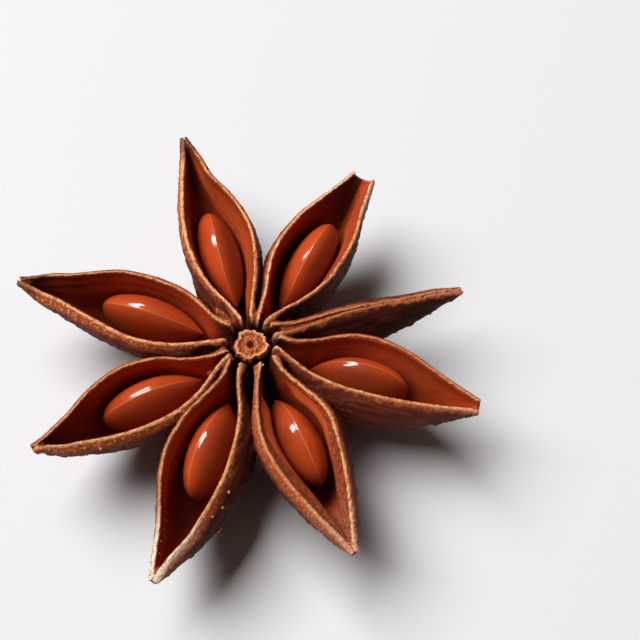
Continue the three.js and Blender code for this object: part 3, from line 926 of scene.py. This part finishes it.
def husk_material(settings):
    """Dull wrinkled walls outside, satin hollows, torn paler bands and a thin light crest that is
    partly a painted highlight, with painted shade in the hollows, round the column and on outsides
    turned from the light.
    """
    material, tree, shader = new_material(HUSK_MATERIAL)
    names = ("from_crest", "band", "light", "darkness")
    crest, band, light, darkness = (attribute(tree, name) for name in names)
    local = attribute(tree, "local", "Vector")
    long = stretched(local, LONG_FIBRES)
    fibres, blotches = noise(long, *FIBRES), noise(long, *BLOTCHES)
    specks, clots = noise(local, *SPECKS), noise(local, *CLOTS)

    spread, uneven = specks - 0.5, clots - 0.5
    ragged = uneven * 0.35 + (spread * 0.3 + crest)
    outside = remap((spread * 0.6 + (uneven * 0.75 + ragged)) / band, 0.6, 1.35)
    inside = remap(ragged + attribute(tree, "lining"), -0.14, -0.02, 1, 0)
    past = band * light * -0.08 + ragged
    on_crest = remap(ragged, -0.12, -0.03) * remap(past, 0.05, 0.2, 1, 0)
    on_crest = on_crest * remap(clots, 0.36, 0.55, 0.4) * remap(specks, 0.36, 0.5, 0.5)
    on_crest = on_crest * (1 - darkness * 0.4)
    below = remap(ragged, -0.35, -0.1, 1, 0)

    outer = blend(remap(fibres, 0.4, 0.68), shaded(settings.outer, 0.65), settings.outer_pale)
    outer = blend(remap(blotches, 0.4, 0.7, 0, 0.6), outer, shaded(settings.outer, 0.4))
    outer = blend(remap(specks, 0.62, 0.74, 0, 0.6), outer, settings.outer_pale)
    # Darkness of the outside: partly painted shade on the carpels turned from the light, and the
    # dark tips.
    outer = blend(darkness, outer, shaded(settings.outer, DARKEST_LEFT))
    wall = remap(fibres, 0.4, 0.72, 0, 0.55)
    wall = blend(wall, settings.hollow, shaded(settings.hollow, 0.5))
    # Painted shade in the hollows' far ends, at the column's neck and round the seeds' outer ends.
    wall = blend(attribute(tree, "gloom"), wall, settings.shade_colour)
    # The crest colour: a pale torn edge, lightened further as a painted highlight.
    crown = blend(light, settings.lip, settings.crest)
    lip = blend(remap(specks, 0.34, 0.5), shaded(settings.lip, 0.5), settings.lip)
    lip = blend(remap(specks, 0.53, 0.64, 0, 0.95), lip, crown)
    lip = blend(darkness * 0.4, lip, outer)
    torn = blend(remap(specks, 0.36, 0.6), shaded(settings.lip, 0.3), shaded(settings.lip, 0.8))
    lip = blend(below, lip, torn)
    base = blend(inside, blend(on_crest, blend(outside, lip, outer), crown), wall)
    bleached = attribute(tree, "bleached") * remap(specks, 0.3, 0.52) * (1 - inside)
    bleached = bleached * remap(ragged, 0.15, 0.5, 1, 0.05) * (1 - below * 0.85)
    base = blend(bleached, base, settings.cream)
    # Painted shade in the gaps round the column and down its side, with the dark tips.
    base = blend(attribute(tree, "sunk"), base, shaded(settings.outer, DARKEST_LEFT))

    rough = {0: inside, 2: specks * 0.25 + 0.5, 3: fibres * 0.2 + 0.3}
    rough = put(tree, "ShaderNodeMix", rough, data_type="FLOAT")
    relief = (specks * 0.8 + noise(long, *FINE)) * (1 - inside * 0.85)
    feed(shader, {"Base Color": base, "Roughness": rough, "Specular IOR Level": 0.18})
    feed(shader, {"Normal": relief_normal(relief, 0.6)})
    return material


def seed_material(settings):
    """A hard glossy coat, a lighter line painted as a highlight on the ridge, faint clouds of
    darker brown, and painted shade on one side and below.
    """
    material, tree, shader = new_material("Glossy seed coat")
    place = put(tree, "ShaderNodeTexCoord", output="Object")
    clouds = noise(place, *CLOUDS)
    dark = shaded(settings.coat, 0.5)
    base = blend(remap(clouds, 0.35, 0.75, 0, 0.6), settings.coat, dark)
    base = blend(remap(noise(place, *FRECKLES), 0.6, 0.75, 0, 0.35), base, dark)
    # Painted shade on the side turned from the light and on the underside.
    base = blend(attribute(tree, "flank") * 0.8, base, shaded(settings.coat, 0.3))
    # Painted highlight: a lighter line along the ridge's upper side.
    base = blend(attribute(tree, "ridge") * 0.32, base, settings.ridge)
    feed(shader, {"Base Color": base, "Roughness": 0.45, "Specular IOR Level": 0.12})
    feed(shader, {"Coat Weight": 0.9, "Coat Roughness": settings.roughness, "Coat IOR": 1.52})
    feed(shader, {"Normal": relief_normal(clouds, 0.25)})
    return material


def crumb_material(settings):
    """Dry and dull, mottled with a darker tone."""
    material, tree, shader = new_material("Husk crumb")
    mottles = remap(noise(put(tree, "ShaderNodeTexCoord", output="Object"), *MOTTLES), 0.4, 0.65)
    base = blend(mottles, settings.colour, shaded(settings.colour, 0.6))
    feed(shader, {"Base Color": base, "Roughness": 0.7, "Specular IOR Level": 0.2})
    return material


def floor_material(settings):
    material, tree, shader = new_material("Pale floor")
    colour = (*settings.floor, 1)
    feed(shader, {"Base Color": colour, "Roughness": 0.6, "Specular IOR Level": 0.25})
    return material


# ---- Operators ----

def shown(piece, slot, *nodes):
    """Makes a finished piece ride on the pod, in place of the solids it stands for."""
    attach(piece, "root")
    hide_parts(*nodes)


def inputs_from(settings, *names):
    """Settings as values for a tree's inputs, such as Wrinkle Depth from wrinkle_depth."""
    return {name.replace("_", " ").title(): getattr(settings, name) for name in names}


def dress(piece):
    """Gives a piece of the husk its skin, from a material and a tree that are made once."""
    settings = bpy.context.scene.anise_husk
    values = inputs_from(
        settings, "wrinkle_depth", "wrinkle_spacing", "grain_depth", "grain_size", "tooth_depth",
        "flake_depth",
    )
    material = bpy.data.materials.get(HUSK_MATERIAL) or husk_material(settings)
    tree = bpy.data.node_groups.get(HUSK_SKIN) or husk_skin_tree(material, values)
    run_tree(piece, tree, values)
    shown(piece, "husk", "husk")


class AddCarpels(bpy.types.Operator):
    """Add the eight boat-shaped carpels"""

    bl_idname = "anise.add_carpels"
    bl_label = "Add Carpels"

    def execute(self, context):
        for number in range(len(CARPELS)):
            dress(carpel_piece(number))
        return {"FINISHED"}


class AddColumn(bpy.types.Operator):
    """Add the central column with its pit"""

    bl_idname = "anise.add_column"
    bl_label = "Add Column"

    def execute(self, context):
        top = HUB_HEIGHT + COLUMN_TOP
        edge = COLUMN_RADIUS - COLUMN_EDGE_WIDTH
        inside = [(COLUMN_RADIUS * share, down, crest) for share, down, crest in COLUMN_DISH]
        inside += [(PIT_RADIUS * share, down, crest) for share, down, crest in PIT_EDGE]
        profile = [
            (CORE_RADIUS - CORE_TAPER, HUB_HEIGHT - COLUMN_DEPTH, UNTORN),
            (CORE_RADIUS, HUB_HEIGHT - CORE_DEPTH, UNTORN),
            (edge, HUB_HEIGHT - GROOVE_DEPTH, UNTORN),
            (COLUMN_RADIUS, top - COLUMN_EDGE_HEIGHT, 0.6),
            (edge, top, 0.1),
            *[(radius, top - COLUMN_EDGE_HEIGHT * down, crest) for radius, down, crest in inside],
            (PIT_RADIUS / 2, top - COLUMN_EDGE_HEIGHT - PIT_DEPTH, 0.9),
        ]
        dress(turned_piece("column", profile, COLUMN_WAVES))
        return {"FINISHED"}


class AddStalkScar(bpy.types.Operator):
    """Add the scar of the stalk under the column"""

    bl_idname = "anise.add_stalk_scar"
    bl_label = "Add Stalk Scar"

    def execute(self, context):
        joined = HUB_HEIGHT - COLUMN_DEPTH + STALK_SINK
        profile = [
            (STALK_RADIUS, 0, 0.5),
            (STALK_RADIUS, joined * STALK_STRAIGHT, 1),
            (STALK_RADIUS + STALK_FLARE, joined, UNTORN),
        ]
        dress(turned_piece("stalk_scar", profile, STALK_WAVES))
        return {"FINISHED"}


class AddSeeds(bpy.types.Operator):
    """Add the seven glossy seeds"""

    bl_idname = "anise.add_seeds"
    bl_label = "Add Seeds"

    def execute(self, context):
        settings = context.scene.anise_seed
        material = seed_material(settings)
        for number, seed in enumerate(SEEDS):
            values = {
                "Length": seed.length * MM,
                "Width": seed.width * MM,
                **inputs_from(settings, "height", "ridge_line", "lumps"),
                "Line Turn": math.radians(seed.line),
                "Line Twist": math.radians(seed.twist),
                "Painted Flank Shade": float(seed.flank),
                "Seed": float(number),
            }
            tree = bpy.data.node_groups.get(SEED_SHAPE) or seed_tree(material, values)
            piece = new_piece(f"seed_coat_{number + 1}")
            run_tree(piece, tree, values)
            piece.data.transform(seed_place(seed, settings.height / MM))
            shown(piece, "seed", f"seed_{number + 1}")
        return {"FINISHED"}


def seed_place(seed, height):
    """Where a seed lies along its hollow."""
    carpel = CARPELS[seed.carpel]
    below = seed.sink + height / 2
    reach = SEED_BEARING * seed.length

    def middle_at(along):
        z = sizes_at(carpel, np.array(along))
        return float(z.middle + z.swing * below)

    inner, outer = middle_at(seed.at - reach), middle_at(seed.at + reach)
    rim = float(sizes_at(carpel, np.array(seed.at)).rim)
    at = Vector((seed.at, (inner + outer) / 2 + seed.side, HUB_HEIGHT + rim - below)) * MM
    yaw = math.atan2(outer - inner, 2 * reach) + math.radians(seed.yaw)
    turn = Matrix.Rotation(yaw, 4, "Z")
    pitch = Matrix.Rotation(-math.radians(seed.pitch), 4, "Y")
    roll = Matrix.Rotation(-math.radians(seed.roll), 4, "X")
    arm = Matrix.Rotation(math.radians(carpel.azimuth), 4, "Z")
    return arm @ Matrix.Translation(at) @ turn @ pitch @ roll


class AddCrumbs(bpy.types.Operator):
    """Add the crumbs and flakes that lie on the husk"""

    bl_idname = "anise.add_crumbs"
    bl_label = "Add Crumbs"

    def execute(self, context):
        settings = context.scene.anise_crumb
        spots = np.array(CRUMBS)
        piece = new_piece("crumbs", spots[:, :3])
        store(piece, share=spots[:, 3])
        values = inputs_from(settings, "size", "unevenness", "seed")
        run_tree(piece, crumb_tree(crumb_material(settings), values), values)
        shown(piece, "husk", "husk")
        return {"FINISHED"}


class AddStage(bpy.types.Operator):
    """Add the floor, the lights and the camera"""

    bl_idname = "anise.add_stage"
    bl_label = "Add Stage"

    def execute(self, context):
        settings = context.scene.anise_stage
        add_floor(context, settings)
        add_lights(context, settings)
        add_camera(context, settings)
        return {"FINISHED"}


def add_floor(context, settings):
    r = FLOOR_REACH / MM
    corners = [(-r, -r, 0), (r, -r, 0), (r, r, 0), (-r, r, 0)]
    floor = new_piece("floor", corners, [(0, 1, 2, 3)])
    floor.data.materials.append(floor_material(settings))


def add_lights(context, settings):
    world = bpy.data.worlds.new("Studio")
    world.use_nodes = True
    sky = {"Color": (*settings.sky_colour, 1), "Strength": settings.sky}
    feed(world.node_tree.nodes["Background"], sky)
    context.scene.world = world
    key = add_lamp(context, "key", KEY_FROM, KEY_SIZE, settings.key_power)
    key.visible_glossy = False
    glint = add_lamp(context, "glint", GLINT_FROM, GLINT_SIZE, settings.glint_power)
    glint.visible_diffuse = False
    context.scene.view_settings.view_transform = "Standard"


def add_lamp(context, name, towards, size, power):
    """A rectangular light that faces the pod."""
    light = bpy.data.lights.new(name, "AREA")
    light.shape = "RECTANGLE"
    light.size, light.size_y = size
    light.energy = power
    lamp = bpy.data.objects.new(name, light)
    towards = Vector(towards).normalized()
    lamp.location = towards * LAMP_DISTANCE
    lamp.rotation_euler = towards.to_track_quat("Z", "Y").to_euler()
    context.collection.objects.link(lamp)
    return lamp


def add_camera(context, settings):
    """A camera from which the column's top falls on its place in the frame."""
    tilt = math.radians(90 - ELEVATION)
    back = Vector((0, -math.sin(tilt), math.cos(tilt)))
    up = Vector((0, math.cos(tilt), math.sin(tilt)))
    scale = settings.distance / FOCAL_PIXELS
    right = (HUB_PIXEL[0] - FRAME_PIXELS / 2) * scale
    above = (FRAME_PIXELS / 2 - HUB_PIXEL[1]) * scale
    lens = bpy.data.cameras.new("camera")
    lens.sensor_width = SENSOR
    lens.lens = SENSOR * FOCAL_PIXELS / FRAME_PIXELS
    lens.clip_start = settings.distance / NEAREST
    camera = bpy.data.objects.new("camera", lens)
    hub = Vector((0, 0, HUB_HEIGHT * MM))
    camera.location = hub + back * settings.distance - Vector((right, 0, 0)) - up * above
    camera.rotation_euler = (tilt, 0, 0)
    context.collection.objects.link(camera)
    context.scene.camera = camera


class AnisePanel(bpy.types.Panel):
    """Lists the pod's pieces with their settings"""

    bl_idname = "VIEW3D_PT_anise"
    bl_label = "Star Anise Pod"
    bl_space_type = "VIEW_3D"
    bl_region_type = "UI"
    bl_category = "Anise"

    def draw(self, context):
        for group, (_, operators) in GROUPS.items():
            settings = getattr(context.scene, group)
            box = self.layout.box()
            for name in settings.bl_rna.properties.keys():
                if name not in ("rna_type", "name"):
                    box.prop(settings, name)
            for operator in operators:
                box.operator(operator.bl_idname)


# Each group of settings, with the operators that read it.
GROUPS = {
    "anise_husk": (HuskSettings, (AddCarpels, AddColumn, AddStalkScar)),
    "anise_seed": (SeedSettings, (AddSeeds,)),
    "anise_crumb": (CrumbSettings, (AddCrumbs,)),
    "anise_stage": (StageSettings, (AddStage,)),
}
CLASSES = [kind for settings, operators in GROUPS.values() for kind in (settings, *operators)]
CLASSES.append(AnisePanel)


def register():
    for kind in CLASSES:
        bpy.utils.register_class(kind)
    for name, (kind, _) in GROUPS.items():
        setattr(bpy.types.Scene, name, PointerProperty(type=kind))


def unregister():
    for name in GROUPS:
        delattr(bpy.types.Scene, name)
    for kind in CLASSES:
        bpy.utils.unregister_class(kind)


def main():
    register()
    bpy.ops.anise.add_carpels()
    bpy.ops.anise.add_column()
    bpy.ops.anise.add_stalk_scar()
    bpy.ops.anise.add_seeds()
    bpy.ops.anise.add_crumbs()
    bpy.ops.anise.add_stage()


if __name__ == "__main__":
    main()
